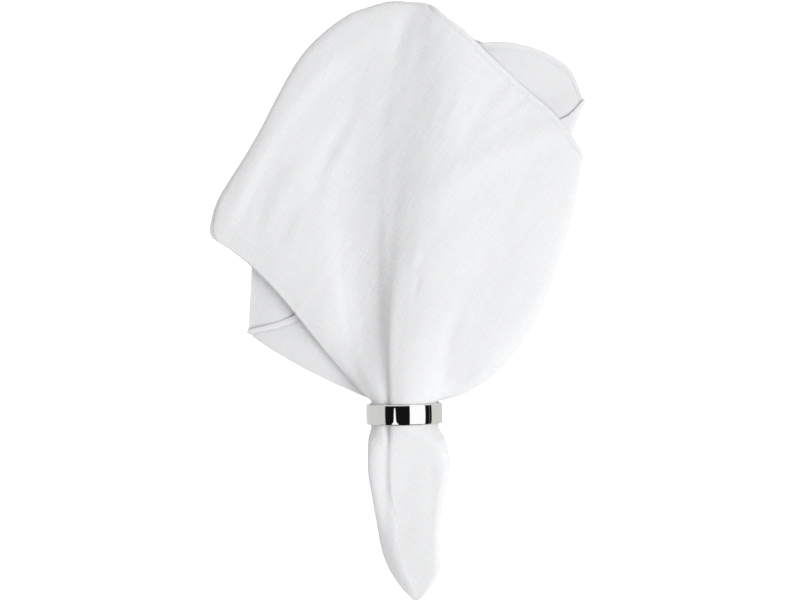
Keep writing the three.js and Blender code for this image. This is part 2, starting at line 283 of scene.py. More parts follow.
def fanSection(share):
    points = [fanPoint(fold, share) for fold in folds]
    earlier = [fanPoint(fold, share - clothSize["runStep"]) for fold in folds]
    return rounded(points, [unit(point - before) for point, before in zip(points, earlier)])


# Turns a round section's share into an oblong one for a power below 1, and a slanting one above it
def squared(share, power):
    return math.copysign(abs(share) ** power, share)


def tailSection(along, turns):
    left, right, top, crest, facet, lean, pleating = (
        between([(row["along"], row[name]) for row in tail], along) for name in tailColumns[1:]
    )
    lift = max(0.0, 1 - along / clothSize["liftEnd"])
    bottom = lift * (ringCentreZ - bundleRadius) + (1 - lift) * (restZ - clothSize["tipSink"])
    section = []
    for point, turn in zip(ringSection(0), turns):
        power = clothSize["tailFlat"] if math.cos(turn) > 0 else facet
        across, up = (
            pleating * pleat / bundleRadius + (1 - pleating) * squared(share, power)
            for pleat, share in ((point[0], math.cos(turn)), (point[2] - ringCentreZ, math.sin(turn)))
        )
        x = left + (right - left) * (crest + across * (crest if across < 0 else 1 - crest))
        z = (top + bottom) / 2 + (top - bottom) / 2 * up + lean * max(across, 0) * (1 + up) / 2
        section.append(np.array([x, -mouthY - along, max(z, restZ)]))
    return section


# The shares of the run where the fan's sections lie: even steps, then the hem's finer ones
def fanShares():
    fanSteps, hemSteps, hemShare = (clothSize[name] for name in ("fanSteps", "hemSteps", "hemShare"))
    plain = 1 - hemShare
    shares = [plain * (i + 1) / fanSteps for i in range(fanSteps)]
    return shares + [plain + hemShare * (i + 1) / hemSteps for i in range(hemSteps)]


# The fold lines' points at each section from the tip to the hem, and the name of each line
def foldSections():
    turns, names = [], []
    for fold in folds:
        steps = (-1, 0, 1) if fold["roll"] else (0,)
        turns += [math.radians(fold["tailTurn"] + clothSize["tailTurnStep"] * step) for step in steps]
        names += [fold["name"]] * len(steps)
    tailLength, tailSteps, ringSteps = tail[-1]["along"], clothSize["tailSteps"], clothSize["ringSteps"]
    sections = []
    for i in range(tailSteps, 0, -1):       # closer together towards the tip
        sections.append(tailSection(tailLength * math.sin(math.pi / 2 * i / tailSteps), turns))
    for i in range(ringSteps + 1):
        sections.append(ringSection(mouthY * (2 * i / ringSteps - 1)))
    sections += [fanSection(share) for share in fanShares()]
    return np.array(sections), names


# The cloth's middle surface: a row for each section, a column for each line along it, and each column's layer
def middleSurface():
    sections, names = foldSections()
    order = [fold["name"] for fold in folds]
    firstFront, lastFront = (order.index(name) for name in frontFolds)
    columns, layers = [], []
    count = len(names)
    for i in range(count):
        p0, p1, p2, p3 = (sections[:, (i + k) % count] for k in (-1, 0, 1, 2))
        d0, d1, d2 = (
            np.sum((b - a) ** 2, axis=1, keepdims=True) ** 0.25 for a, b in ((p0, p1), (p1, p2), (p2, p3))
        )
        t1 = ((p1 - p0) / d0 - (p2 - p0) / (d0 + d1) + (p2 - p1) / d1) * d1
        t2 = ((p2 - p1) / d1 - (p3 - p1) / (d1 + d2) + (p3 - p2) / d2) * d1
        square = -3 * p1 + 3 * p2 - 2 * t1 - t2
        cube = 2 * p1 - 2 * p2 + t1 + t2
        place = order.index(names[i])
        front = place >= firstFront or place < lastFront
        layer = "front" if front else "back" if names[i] in backFolds else names[i]
        widest = np.linalg.norm(p2 - p1, axis=1).max()
        steps = max(2, math.ceil(widest / clothSize["frontStep" if front else "hiddenStep"]))
        for k in range(steps):
            t = k / steps
            columns.append(p1 + t1 * t + square * t * t + cube * t ** 3)
            layers.append(layer)
    grid = np.stack(columns, axis=1)
    grid[:, :, 2] = np.maximum(grid[:, :, 2], restZ)
    return grid, np.array(layers)


def acrossCloth(grid):
    around = np.roll(grid, -1, axis=1) - np.roll(grid, 1, axis=1)
    along = np.concatenate([grid[1:2] - grid[:1], grid[2:] - grid[:-2], grid[-1:] - grid[-2:-1]])
    across = np.cross(along, around)
    return across / np.linalg.norm(across, axis=2, keepdims=True)


# How far each point is pushed out by the listed creases
def creaseRelief(grid, layers):
    relief = np.zeros(grid.shape[:2])
    plan = grid[:, :, :2]
    shares = np.linspace(0, 1, creaseSize["pathPoints"])
    end = creaseSize["endShare"]
    inFan = grid[:, :, 1] > mouthY
    up = acrossCloth(grid)[:, :, 2]
    for crease in creases:
        start = np.array([crease["x1"], crease["y1"]])
        run = np.array([crease["x2"], crease["y2"]]) - start
        sideways = np.array([-run[1], run[0]]) / np.linalg.norm(run)
        path = start + np.outer(shares, run) + np.outer(np.sin(np.pi * shares), sideways * crease["bow"])
        gaps = np.linalg.norm(plan[:, :, None, :] - path, axis=3)
        nearest = gaps.argmin(axis=2)
        gap = gaps.min(axis=2)
        onLeft = np.sum((plan - path[nearest]) * sideways, axis=2) > 0
        width = np.where(onLeft, crease["leftWidth"], crease["rightWidth"])
        taper = np.sin(np.pi * (end + (1 - 2 * end) * shares[nearest])) ** creaseSize["taperPower"]
        where = ~inFan if crease["layer"] == "tail" else inFan & (layers == crease["layer"])
        relief += np.where(where & (up > 0), crease["height"] * taper * np.exp(-((gap / width) ** 2)), 0)
    return relief


# Slack in the linen: long shallow wrinkles that run with the threads of the left hem, crumples towards the
# hem and a slow unevenness, all calmer in the ring, on the table and at the hem
wrinkleSize = {
    "lean": 58.0,           # degrees from +X
    "long": 46.0,
    "short": 8.5,
    "deep": 0.34,
    "crumpleLong": 17.0,
    "crumpleShort": 5.0,
    "crumpleDeep": 0.17,
    "crumpleFrom": 110.0,   # distance above the ring where they begin
    "crumpleOver": 60.0,
    "slow": 34.0,
    "slowDeep": 0.7,
    "slowRise": 1.4,        # how much sooner it changes upwards
    "seed": 4.7,
    "hiddenShare": 0.5,     # left in the layers behind
    "ringCalm": 12.0,       # distances over which they fade
    "tableCalm": 3.0,
    "hemCalm": 6.0,
    "hemLeast": 0.35,       # share left at the hem
}


def slack(grid):
    size = wrinkleSize
    lean = math.radians(size["lean"])
    height, count = grid.shape[:2]
    lift = np.zeros((height, count))
    for j in range(height):
        for i in range(count):
            x, y, z = grid[j, i]
            run = x * math.cos(lean) + y * math.sin(lean)
            side = y * math.cos(lean) - x * math.sin(lean)
            fine, crumple = (
                noise.noise(Vector((run / size[long], side / size[short], seed)))
                for long, short, seed in (
                    ("long", "short", size["seed"]), ("crumpleLong", "crumpleShort", -size["seed"]),
                )
            )
            slow = noise.noise(Vector((x, y, size["slowRise"] * z)) / size["slow"])
            crumpled = size["crumpleDeep"] * ease((y - size["crumpleFrom"]) / size["crumpleOver"])
            lift[j, i] = size["deep"] * fine + size["slowDeep"] * slow + crumpled * crumple
    return lift


# Flat coordinates on the cloth, both ways from the valley by the length along the section, to meet
# underneath: each point's place, and the place one step further round
def threadPlaces(grid, layers):
    count = grid.shape[1]
    steps = np.roll(grid, -1, axis=1) - grid
    lengths = np.linalg.norm(steps, axis=2, keepdims=True)
    level = np.linalg.norm(steps[:, :, :2], axis=2, keepdims=True)
    moves = steps[:, :, :2] / np.maximum(level, clothSize["leastLevel"]) * lengths
    places = np.zeros(grid.shape[:2] + (2,))
    places[:, 0] = grid[:, 0, :2]
    meeting = int(np.flatnonzero(layers == "underMiddle")[0])
    for i in range(meeting):
        places[:, i + 1] = places[:, i] + moves[:, i]
    for i in range(count, meeting + 1, -1):
        places[:, i - 1] = places[:, i % count] - moves[:, i - 1]
    return places, places + moves


# The faces of the cloth: its outer side, its inner side, the rim along the hem and the caps on the tip
def clothFaces(height, count):
    j, i = (index.ravel() for index in np.meshgrid(np.arange(height - 1), np.arange(count), indexing="ij"))
    beside = (i + 1) % count
    a, b, c, d = j * count + i, (j + 1) * count + i, (j + 1) * count + beside, j * count + beside
    under = height * count
    rim = np.arange(count) + (height - 1) * count
    rimNext = (np.arange(count) + 1) % count + (height - 1) * count
    quads = np.concatenate([
        np.stack([a, b, c, d], axis=1),
        np.stack([a, d, c, b], axis=1) + under,
        np.stack([rim, rim + under, rimNext + under, rimNext], axis=1),
    ])
    tipOut, tipIn = 2 * under, 2 * under + 1
    caps = [(tipOut, k, (k + 1) % count) for k in range(count)]
    caps += [(tipIn, under + (k + 1) % count, under + k) for k in range(count)]
    return quads.tolist() + caps


# The flat coordinates of every face's corners, in the order of clothFaces
def threadCorners(here, there):
    rounds = np.stack([here[:-1], here[1:], there[1:], there[:-1]], axis=2)
    backs = np.stack([here[:-1], there[:-1], there[1:], here[1:]], axis=2)
    rims = np.stack([here[-1], here[-1], there[-1], there[-1]], axis=1)
    tip = np.repeat(here[:1].mean(axis=1), here.shape[1], axis=0)
    caps = [np.stack([tip, *pair], axis=1) for pair in ((here[0], there[0]), (there[0], here[0]))]
    return np.concatenate([part.reshape(-1, 2) for part in (rounds, backs, rims, *caps)]) * mm


def newPiece(name, points, edges, faces):
    mesh = bpy.data.meshes.new(name)
    mesh.from_pydata(points, edges, faces)
    piece = bpy.data.objects.new(name, mesh)
    bpy.context.scene.collection.objects.link(piece)
    return piece


def buildNapkin():
    grid, layers = middleSurface()
    height, count = grid.shape[:2]
    across = acrossCloth(grid)
    lengths = np.linalg.norm(np.diff(grid, axis=0), axis=2)
    fromHem = np.concatenate([np.cumsum(lengths[::-1], axis=0)[::-1], np.zeros((1, count))])
    here, there = threadPlaces(grid, layers)
    # the line of stitches: sunk into the cloth, and darkened in the material as painted shade
    seam = np.exp(-(((fromHem - clothSize["seamPlace"]) / clothSize["seamWidth"]) ** 2))

    looseness = np.where(layers == "front", 1, wrinkleSize["hiddenShare"])
    push = creaseRelief(grid, layers) + slack(grid) * looseness
    push *= ease((np.abs(grid[:, :, 1]) - mouthY) / wrinkleSize["ringCalm"])
    push *= ease((grid[:, :, 2] - restZ) / wrinkleSize["tableCalm"])
    push *= wrinkleSize["hemLeast"] + (1 - wrinkleSize["hemLeast"]) * ease(fromHem / wrinkleSize["hemCalm"])
    push -= clothSize["seamSink"] * seam
    grid = grid + across * push[:, :, None]
    grid[:, :, 2] = np.maximum(grid[:, :, 2], restZ)

    across = acrossCloth(grid)
    hem = 1 - ease((fromHem - clothSize["hemWidth"]) / clothSize["hemEase"])
    thick = clothSize["thickness"] + (clothSize["hemThickness"] - clothSize["thickness"]) * hem
    thick -= clothSize["seamDip"] * seam
    outer = grid + across * thick[:, :, None] / 2
    inner = grid - across * thick[:, :, None] / 2
    for side in (outer, inner):
        side[:, :, 2] = np.maximum(side[:, :, 2], 0)
    tip = grid[0].mean(axis=0)
    tips = [tip - [0, clothSize["thickness"], 0], tip]
    points = np.concatenate([outer.reshape(-1, 3), inner.reshape(-1, 3), tips])
    faces = clothFaces(height, count)
    piece = newPiece("napkin_cloth", (points * mm + ringSpot).tolist(), [], faces)

    mesh = piece.data
    corners = threadCorners(here, there).astype(np.float32)
    mesh.uv_layers.new(name="threads").data.foreach_set("uv", corners.ravel())
    lowerShade = np.repeat((layers != "front")[None, :], height, axis=0)     # the layers under the front, darkened in the material as painted shade
    for name, value in (("hem", hem), ("seam", seam), ("lowerShade", lowerShade)):
        value = np.concatenate([value.ravel(), value.ravel(), [0, 0]]).astype(np.float32)
        mesh.attributes.new(name, "FLOAT", "POINT").data.foreach_set("value", value)
    mesh.shade_smooth()
    triangles = sum(len(face) - 2 for face in faces)
    print("napkin:", height, "sections of", count, "points,", triangles, "triangles")
    return piece, (outer, inner), fromHem


def buildRing():
    edge, half, crown = ringSize["edge"], ringSize["width"] / 2, ringSize["crown"]
    inside, outside = ringSize["radius"] - ringSize["wall"] + edge, ringSize["radius"] - crown - edge
    corners = (
        (outside, half - edge, 0), (inside, half - edge, 90),
        (inside, edge - half, 180), (outside, edge - half, 270),
    )
    profile = []
    for radius, along, start in corners:
        for k in range(ringSize["edgeSteps"] + 1):
            turn = math.radians(start + 90 * k / ringSize["edgeSteps"])
            profile.append((radius + edge * math.cos(turn), along + edge * math.sin(turn)))
    for k in range(1, ringSize["bandSteps"]):       # the outer face, from the last corner back to the first
        share = 2 * k / ringSize["bandSteps"] - 1
        profile.append((outside + edge + crown * (1 - share ** 2), (half - edge) * share))
    sides, count = ringSize["sides"], len(profile)
    turn = math.radians(ringSize["turn"])
    points, faces = [], []
    for s in range(sides):
        angle = 2 * math.pi * s / sides
        for radius, along in profile:
            x, y = radius * math.cos(angle), along + ringSize["along"]
            points.append((
                x * math.cos(turn) - y * math.sin(turn),
                x * math.sin(turn) + y * math.cos(turn),
                radius * math.sin(angle) + ringCentreZ,
            ))
        a, b = s * count, (s + 1) % sides * count
        faces += [(a + k, a + (k + 1) % count, b + (k + 1) % count, b + k) for k in range(count)]
    points = np.array(points)
    points[:, 2] = np.maximum(points[:, 2], 0)
    piece = newPiece("polished_ring", (points * mm + ringSpot).tolist(), [], faces)
    piece.data.shade_smooth()
    print("ring:", len(faces), "faces")
    return piece


def addNode(tree, kind, at=(0, 0), **settings):
    node = tree.nodes.new(kind)
    node.location = at
    for name, value in settings.items():
        setattr(node, name, value)
    return node


def setInputs(node, values):
    for name, value in values.items():
        node.inputs[name].default_value = value


# Links node outputs to inputs, given in pairs
def join(tree, *pairs):
    for output, socket in pairs:
        tree.links.new(output, socket)


# One Math node, fed by node outputs or plain numbers
def calc(tree, operation, *values, at=(0, 0)):
    node = addNode(tree, "ShaderNodeMath", at, operation=operation)
    for socket, value in zip(node.inputs, values):
        if isinstance(value, bpy.types.NodeSocket):
            tree.links.new(value, socket)
        else:
            socket.default_value = value
    return node.outputs[0]


# One Map Range node, from a pair of ends to a pair of results
def remap(tree, value, ends, results, at=(0, 0)):
    node = addNode(tree, "ShaderNodeMapRange", at)
    setInputs(node, dict(zip(("From Min", "From Max", "To Min", "To Max"), (*ends, *results))))
    tree.links.new(value, node.inputs["Value"])
    return node.outputs[0]


stitchSize = {
    "pitch": 2.9,          # from stitch to stitch
    "length": 2.3,
    "radius": 0.16,
    "lift": 0.04,          # above the cloth
    "smallest": (0.9, 0.9, 0.82),     # shares of radius, radius and length
    "largest": (1.1, 1.1, 1.08),
    "seed": 3,
    "sides": 8,
    "rings": 5,
}


# The line of the seam on one face of the cloth, at its distance from the hem
def seamLine(face, other, fromHem):
    place = clothSize["seamPlace"]
    points = []
    for i in range(face.shape[1]):
        j = int(np.argmax(fromHem[:, i] < place))
        share = (fromHem[j - 1, i] - place) / (fromHem[j - 1, i] - fromHem[j, i])
        spot, under = (side[j - 1, i] + (side[j, i] - side[j - 1, i]) * share for side in (face, other))
        points.append(spot + unit(spot - under) * stitchSize["lift"])
    points = np.array(points)
    points[:, 2] = np.maximum(points[:, 2], stitchSize["radius"])
    return points


def stitchTree():
    tree = bpy.data.node_groups.new("hem stitches", "GeometryNodeTree")
    sockets = {}
    for name, kind in (
        ("Geometry", "Geometry"), ("Pitch", "Float"), ("Length", "Float"), ("Radius", "Float"),
        ("Seed", "Int"), ("Sides", "Int"), ("Rings", "Int"), ("Material", "Material"),
    ):
        sockets[name] = tree.interface.new_socket(name=name, in_out="INPUT", socket_type="NodeSocket" + kind)
    tree.interface.new_socket(name="Geometry", in_out="OUTPUT", socket_type="NodeSocketGeometry")
    given = addNode(tree, "NodeGroupInput", (-900, 0))
    line = addNode(tree, "GeometryNodeMeshToCurve", (-700, 200))
    even = addNode(tree, "GeometryNodeResampleCurve", (-500, 200), mode="LENGTH")
    along = addNode(tree, "GeometryNodeInputTangent", (-700, -50))
    turn = addNode(tree, "FunctionNodeAlignRotationToVector", (-500, -50), axis="Z")
    ball = addNode(tree, "GeometryNodeMeshUVSphere", (-700, -250))
    ball.inputs["Radius"].default_value = 1.0
    shape = addNode(tree, "ShaderNodeCombineXYZ", (-500, -400))
    half = addNode(tree, "ShaderNodeMath", (-700, -500), operation="MULTIPLY")
    half.inputs[1].default_value = 0.5
    stitch = addNode(tree, "GeometryNodeTransform", (-300, -250))
    uneven = addNode(tree, "FunctionNodeRandomValue", (-300, -500), data_type="FLOAT_VECTOR")
    setInputs(uneven, {"Min": stitchSize["smallest"], "Max": stitchSize["largest"]})
    place = addNode(tree, "GeometryNodeInstanceOnPoints", (-100, 100))
    real = addNode(tree, "GeometryNodeRealizeInstances", (100, 100))
    smooth = addNode(tree, "GeometryNodeSetShadeSmooth", (200, 100))
    dress = addNode(tree, "GeometryNodeSetMaterial", (300, 100))
    result = addNode(tree, "NodeGroupOutput", (500, 100))
    join(
        tree,
        (given.outputs["Geometry"], line.inputs["Mesh"]), (line.outputs[0], even.inputs["Curve"]),
        (given.outputs["Pitch"], even.inputs["Length"]), (along.outputs[0], turn.inputs["Vector"]),
        (given.outputs["Sides"], ball.inputs["Segments"]), (given.outputs["Rings"], ball.inputs["Rings"]),
        (given.outputs["Length"], half.inputs[0]), (given.outputs["Radius"], shape.inputs[0]),
        (given.outputs["Radius"], shape.inputs[1]), (half.outputs[0], shape.inputs[2]),
        (ball.outputs["Mesh"], stitch.inputs["Geometry"]), (shape.outputs[0], stitch.inputs["Scale"]),
        (given.outputs["Seed"], uneven.inputs["Seed"]), (even.outputs[0], place.inputs["Points"]),
        (stitch.outputs[0], place.inputs["Instance"]), (turn.outputs[0], place.inputs["Rotation"]),
        (uneven.outputs[0], place.inputs["Scale"]), (place.outputs[0], real.inputs[0]),
        (real.outputs[0], smooth.inputs["Geometry"]), (smooth.outputs[0], dress.inputs["Geometry"]),
        (given.outputs["Material"], dress.inputs["Material"]), (dress.outputs[0], result.inputs[0]),
    )
    return tree, sockets


def buildStitches(sides, fromHem, material):
    outer, inner = sides
    lines = (seamLine(outer, inner, fromHem), seamLine(inner, outer, fromHem))
    count = len(lines[0])
    edges = [(k + start, (k + 1) % count + start) for start in (0, count) for k in range(count)]
    piece = newPiece("hem_stitches", (np.concatenate(lines) * mm + ringSpot).tolist(), edges, [])
    tree, sockets = stitchTree()
    modifier = piece.modifiers.new("stitches", "NODES")
    modifier.node_group = tree
    values = {name.capitalize(): stitchSize[name] * mm for name in ("pitch", "length", "radius")}
    values.update({name.capitalize(): stitchSize[name] for name in ("seed", "sides", "rings")})
    values["Material"] = material
    for name, value in values.items():
        modifier[sockets[name].identifier] = value
    ready = piece.evaluated_get(bpy.context.evaluated_depsgraph_get())
    mesh = bpy.data.meshes.new_from_object(ready)
    piece.modifiers.remove(modifier)
    seamPath = piece.data
    piece.data = mesh
    bpy.data.meshes.remove(seamPath)
    mesh.name = piece.name
    print("stitches:", len(mesh.polygons), "faces")
    return piece


def newMaterial(name):
    material = bpy.data.materials.new(name)
    material.use_nodes = True
    tree = material.node_tree
    return material, tree, tree.nodes["Principled BSDF"]


# Long thin unevenness: slubs along a thread, or the lines left by a polishing wheel
def streakGroup():
    group = bpy.data.node_groups.new("streaks", "ShaderNodeTree")
    group.interface.new_socket(name="Place", in_out="INPUT", socket_type="NodeSocketVector")
    for name, value in (("Width", 0.001), ("Length", 0.01), ("Seed", 0.0)):
        socket = group.interface.new_socket(name=name, in_out="INPUT", socket_type="NodeSocketFloat")
        socket.default_value = value
    group.interface.new_socket(name="Value", in_out="OUTPUT", socket_type="NodeSocketFloat")
    given = addNode(group, "NodeGroupInput", (-900, 0))
    result = addNode(group, "NodeGroupOutput", (600, 0))
    split = addNode(group, "ShaderNodeSeparateXYZ", (-700, 0))
    join(group, (given.outputs["Place"], split.inputs[0]))
    across = calc(group, "DIVIDE", split.outputs["X"], given.outputs["Width"], at=(-500, 200))
    along = calc(group, "DIVIDE", split.outputs["Y"], given.outputs["Length"], at=(-500, 0))
    deep = calc(group, "DIVIDE", split.outputs["Z"], given.outputs["Length"], at=(-500, -200))
    deep = calc(group, "ADD", deep, given.outputs["Seed"], at=(-300, -200))
    place = addNode(group, "ShaderNodeCombineXYZ", (-100, 0))
    rough = addNode(group, "ShaderNodeTexNoise", (200, 0))
    setInputs(rough, {"Scale": 1.0, "Detail": 2.0})
    join(group, *zip((across, along, deep), place.inputs))
    join(group, (place.outputs[0], rough.inputs["Vector"]), (rough.outputs[0], result.inputs["Value"]))
    return group


def streaks(tree, place, width, length, seed, at):
    node = addNode(tree, "ShaderNodeGroup", at, node_tree=streakShader)
    setInputs(node, {"Width": width, "Length": length, "Seed": seed})
    join(tree, (place, node.inputs["Place"]))
    return node.outputs["Value"]


def tint(tree, colour, scale, socket, at):
    node = addNode(tree, "ShaderNodeVectorMath", at, operation="SCALE")
    node.inputs[0].default_value = colour
    join(tree, (scale, node.inputs["Scale"]), (node.outputs[0], socket))


linenLook = {
    "colour": (0.838, 0.843, 0.853),
    "lean": 58.0,            # degrees from +X to the warp, on the front
    "pitch": 0.00065,        # from thread to thread
    "overShare": 0.4,        # how far the thread on top stands out
    "slubWidth": 0.0011,
    "slubLength": 0.012,
    "slubTone": 0.05,
    "warpSeed": 1.7,
    "weftSeed": 5.3,
    "gapShade": 0.06,         # painted shade: how much darker it is between the threads
    "hemTone": 0.012,        # lighter where the hem is double
    "seamTone": -0.04,       # painted shade along the sunken line of stitches
    "lowerShadeTone": -0.04,     # painted shade: darker on the layers that lie under the front
    "weaveShare": 0.3,       # of the relief
    "relief": 0.00022,
    "roughness": 0.86,
    "slubRoughness": 0.1,
    "sheen": 0.15,
}


def linenMaterial():
    look = linenLook
    material, tree, shader = newMaterial("white linen")
    uv = addNode(tree, "ShaderNodeUVMap", (-1900, 0), uv_map="threads")
    turned = addNode(tree, "ShaderNodeVectorRotate", (-1700, 0), rotation_type="Z_AXIS")
    turned.inputs["Angle"].default_value = math.radians(90 - look["lean"])
    place = turned.outputs[0]
    split = addNode(tree, "ShaderNodeSeparateXYZ", (-1400, -200))
    join(tree, (uv.outputs[0], turned.inputs["Vector"]), (place, split.inputs[0]))
    warpSlub = streaks(tree, place, look["slubWidth"], look["slubLength"], look["warpSeed"], (-1400, 300))
    weftSlub = streaks(tree, place, look["slubLength"], look["slubWidth"], look["weftSeed"], (-1400, 100))
    slubs = calc(tree, "ADD", warpSlub, weftSlub, at=(-900, 300))

    waves = []        # each thread wavers with the slubs of the other
    for axis, slub, at in (("X", weftSlub, -200), ("Y", warpSlub, -400)):
        count = calc(tree, "DIVIDE", split.outputs[axis], look["pitch"], at=(-1200, at))
        count = calc(tree, "ADD", count, slub, at=(-1050, at))
        waves.append(calc(tree, "SINE", calc(tree, "MULTIPLY", count, math.pi, at=(-900, at)), at=(-750, at)))
    over = calc(tree, "MULTIPLY", *waves, at=(-600, -600))
    threads = []
    for wave, share, at in zip(waves, (look["overShare"], -look["overShare"]), (-200, -400)):
        height = calc(tree, "MULTIPLY_ADD", over, share, 1 - look["overShare"], at=(-450, at))
        swell = calc(tree, "ABSOLUTE", wave, at=(-600, at))
        threads.append(calc(tree, "MULTIPLY", swell, height, at=(-300, at)))
    weave = calc(tree, "MAXIMUM", *threads, at=(-150, -400))
    bump = addNode(tree, "ShaderNodeBump", (0, -300))
    bump.inputs["Distance"].default_value = look["relief"]
    relief = calc(tree, "MULTIPLY_ADD", weave, look["weaveShare"], slubs, at=(-150, -200))
    join(tree, (relief, bump.inputs["Height"]), (bump.outputs[0], shader.inputs["Normal"]))

    # the tone: painted shade between the threads, and the slubs lighter at random
    darkest = 1 - look["gapShade"] - look["slubTone"]
    tone = calc(tree, "MULTIPLY_ADD", weave, look["gapShade"], darkest, at=(-150, 200))
    lighter = calc(tree, "MULTIPLY", slubs, look["slubTone"], at=(-300, 300))
    tone = calc(tree, "ADD", tone, lighter, at=(0, 200))
    # the hem lighter where it is double; painted shade along the seam and on the layers under the front
    for name, at in (("hem", 450), ("seam", 600), ("lowerShade", 750)):
        part = addNode(tree, "ShaderNodeAttribute", (-300, at), attribute_name=name)
        tone = calc(tree, "MULTIPLY_ADD", part.outputs["Fac"], look[name + "Tone"], tone, at=(100, at))
    tint(tree, look["colour"], tone, shader.inputs["Base Color"], (150, 150))
    smoothest = look["roughness"] - look["slubRoughness"] / 2
    roughness = calc(tree, "MULTIPLY_ADD", warpSlub, look["slubRoughness"], smoothest)
    join(tree, (roughness, shader.inputs["Roughness"]))
    shader.inputs["Sheen Weight"].default_value = look["sheen"]
    return material


threadLook = {
    "colour": (0.84, 0.845, 0.85),
    "roughness": 0.7,
    "sheen": 0.2,
    "plyWidth": 0.0001,
    "plyLength": 0.0006,
    "plyTone": 0.2,
    "plySeed": 2.1,
}


def threadMaterial():
    look = threadLook
    material, tree, shader = newMaterial("sewing thread")
    place = addNode(tree, "ShaderNodeTexCoord", (-700, 0)).outputs["Object"]
    plies = streaks(tree, place, look["plyWidth"], look["plyLength"], look["plySeed"], (-450, 0))
    tone = calc(tree, "MULTIPLY_ADD", plies, look["plyTone"], 1 - look["plyTone"] / 2, at=(-200, 100))
    tint(tree, look["colour"], tone, shader.inputs["Base Color"], (0, 100))
    setInputs(shader, {"Roughness": look["roughness"], "Sheen Weight": look["sheen"]})
    return material


steelLook = {
    "colour": (0.82, 0.82, 0.81),
    "roughness": 0.025,
    "lineWidth": 0.00012,    # the polishing lines
    "lineLength": 0.02,
    "lineRoughness": 0.03,
    "lineSeed": 8.4,
    "relief": 0.0000006,
}


def steelMaterial():
    look = steelLook
    material, tree, shader = newMaterial("polished steel")
    setInputs(shader, {"Base Color": (*look["colour"], 1), "Metallic": 1.0})
    place = addNode(tree, "ShaderNodeTexCoord", (-1000, 0))
    split = addNode(tree, "ShaderNodeSeparateXYZ", (-800, 0))
    swapped = addNode(tree, "ShaderNodeCombineXYZ", (-600, 0))       # the lines lie round the band
    join(tree, (place.outputs["Object"], split.inputs[0]))
    join(tree, *((split.outputs[a], swapped.inputs[b]) for a, b in (("Y", "X"), ("X", "Y"), ("Z", "Z"))))
    width, length, seed = look["lineWidth"], look["lineLength"], look["lineSeed"]
    lines = streaks(tree, swapped.outputs[0], width, length, seed, (-400, 0))
    roughness = calc(tree, "MULTIPLY_ADD", lines, look["lineRoughness"], look["roughness"], at=(-150, 100))
    bump = addNode(tree, "ShaderNodeBump", (-150, -150))
    bump.inputs["Distance"].default_value = look["relief"]
    join(tree, (roughness, shader.inputs["Roughness"]), (lines, bump.inputs["Height"]))
    join(tree, (bump.outputs[0], shader.inputs["Normal"]))
    return material


floorLook = {
    "reach": 4.0,                     # metres each way from the middle
    "colour": (0.93, 0.93, 0.93, 1),
    "roughness": 0.9,
    "glow": (0.22, 0.75),             # its own light: on the napkin, and where the camera looks at it
    "mirrored": (0.74, 0.735, 0.72, 1),     # its colour in the polished ring
}


def buildFloor():
    look, reach = floorLook, floorLook["reach"]
    corners = [(-reach, -reach, 0), (reach, -reach, 0), (reach, reach, 0), (-reach, reach, 0)]
    floor = newPiece("floor", corners, [], [(0, 1, 2, 3)])
    material, tree, shader = newMaterial("white floor")
    setInputs(shader, {"Base Color": look["colour"], "Roughness": look["roughness"]})
    setInputs(shader, {"Specular IOR Level": 0.0, "Emission Color": (1, 1, 1, 1)})
    ray = addNode(tree, "ShaderNodeLightPath", (-600, 200))
    glow = remap(tree, ray.outputs["Is Camera Ray"], (0.0, 1.0), look["glow"], at=(-300, 200))
    mirrored = addNode(tree, "ShaderNodeEmission", (0, -300))
    mirrored.inputs["Color"].default_value = look["mirrored"]
    mix = addNode(tree, "ShaderNodeMixShader", (300, 0))
    join(
        tree, (glow, shader.inputs["Emission Strength"]), (ray.outputs["Is Glossy Ray"], mix.inputs[0]),
        (shader.outputs[0], mix.inputs[1]), (mirrored.outputs[0], mix.inputs[2]),
        (mix.outputs[0], tree.nodes["Material Output"].inputs["Surface"]),
    )
    floor.data.materials.append(material)


lampLook = {"side": 3.0, "power": 86.0, "place": (1.18, -0.48, 2.72)}     # a broad soft light from the right


def buildLamp():
    lamp = bpy.data.lights.new("soft light", "AREA")
    lamp.shape = "RECTANGLE"
    lamp.size, lamp.size_y = lampLook["side"], lampLook["side"]
    lamp.energy = lampLook["power"]
    holder = bpy.data.objects.new("soft light", lamp)
    holder.location = lampLook["place"]
    holder.rotation_euler = (-Vector(holder.location)).to_track_quat("-Z", "Y").to_euler()
    holder.visible_glossy = False
    bpy.context.scene.collection.objects.link(holder)


# The fill light, and the studio that only the polished ring reflects: bright bands, and a slit of light
studioLook = {
    "fill": 0.384,
    "bands": (                # degrees from straight up towards +X, and the brightness there
        (-180, 0.72), (-62, 0.72), (-60, 0.008), (15.5, 0.008), (17, 1.2), (65, 1.2), (66.5, 0.008),
        (80.6, 0.008), (81.2, 0.2), (82, 0.2), (82.6, 0.008), (93, 0.008), (95, 0.7), (180, 0.7),
    ),
    "slitMiddle": -29.3,      # degrees, as in the bands
    "slitBright": 1.2,
    "slitSoft": 0.02,         # radians over which its edge fades
    "slitWidest": 22.0,       # half its width, in degrees, where its ramp is white
    "slitReach": 0.3,         # the Y, each way, that its ramp covers
    "slitWidths": (           # the Y of the reflected direction, and half the slit's width there, in degrees
        (-0.3, 13), (-0.215, 9), (-0.175, 4.6), (-0.12, 3.8), (0.06, 2.4), (0.085, 0),
    ),
    "rimY": 0.3,              # bright beyond this Y
    "rimBright": 0.85,
    "footY": -0.32,           # and dark beyond this one
    "footBright": 0.05,
    "softY": 0.05,
}


# Fills a colour ramp from rows of a place, from 0 to 1, and a brightness
def fillRamp(ramp, rows):
    stops = ramp.color_ramp.elements
    while len(stops) > 1:
        stops.remove(stops[-1])
    for k, (place, bright) in enumerate(rows):
        stop = stops[0] if k == 0 else stops.new(place)
        stop.position = place
        stop.color = (bright, bright, bright, 1)


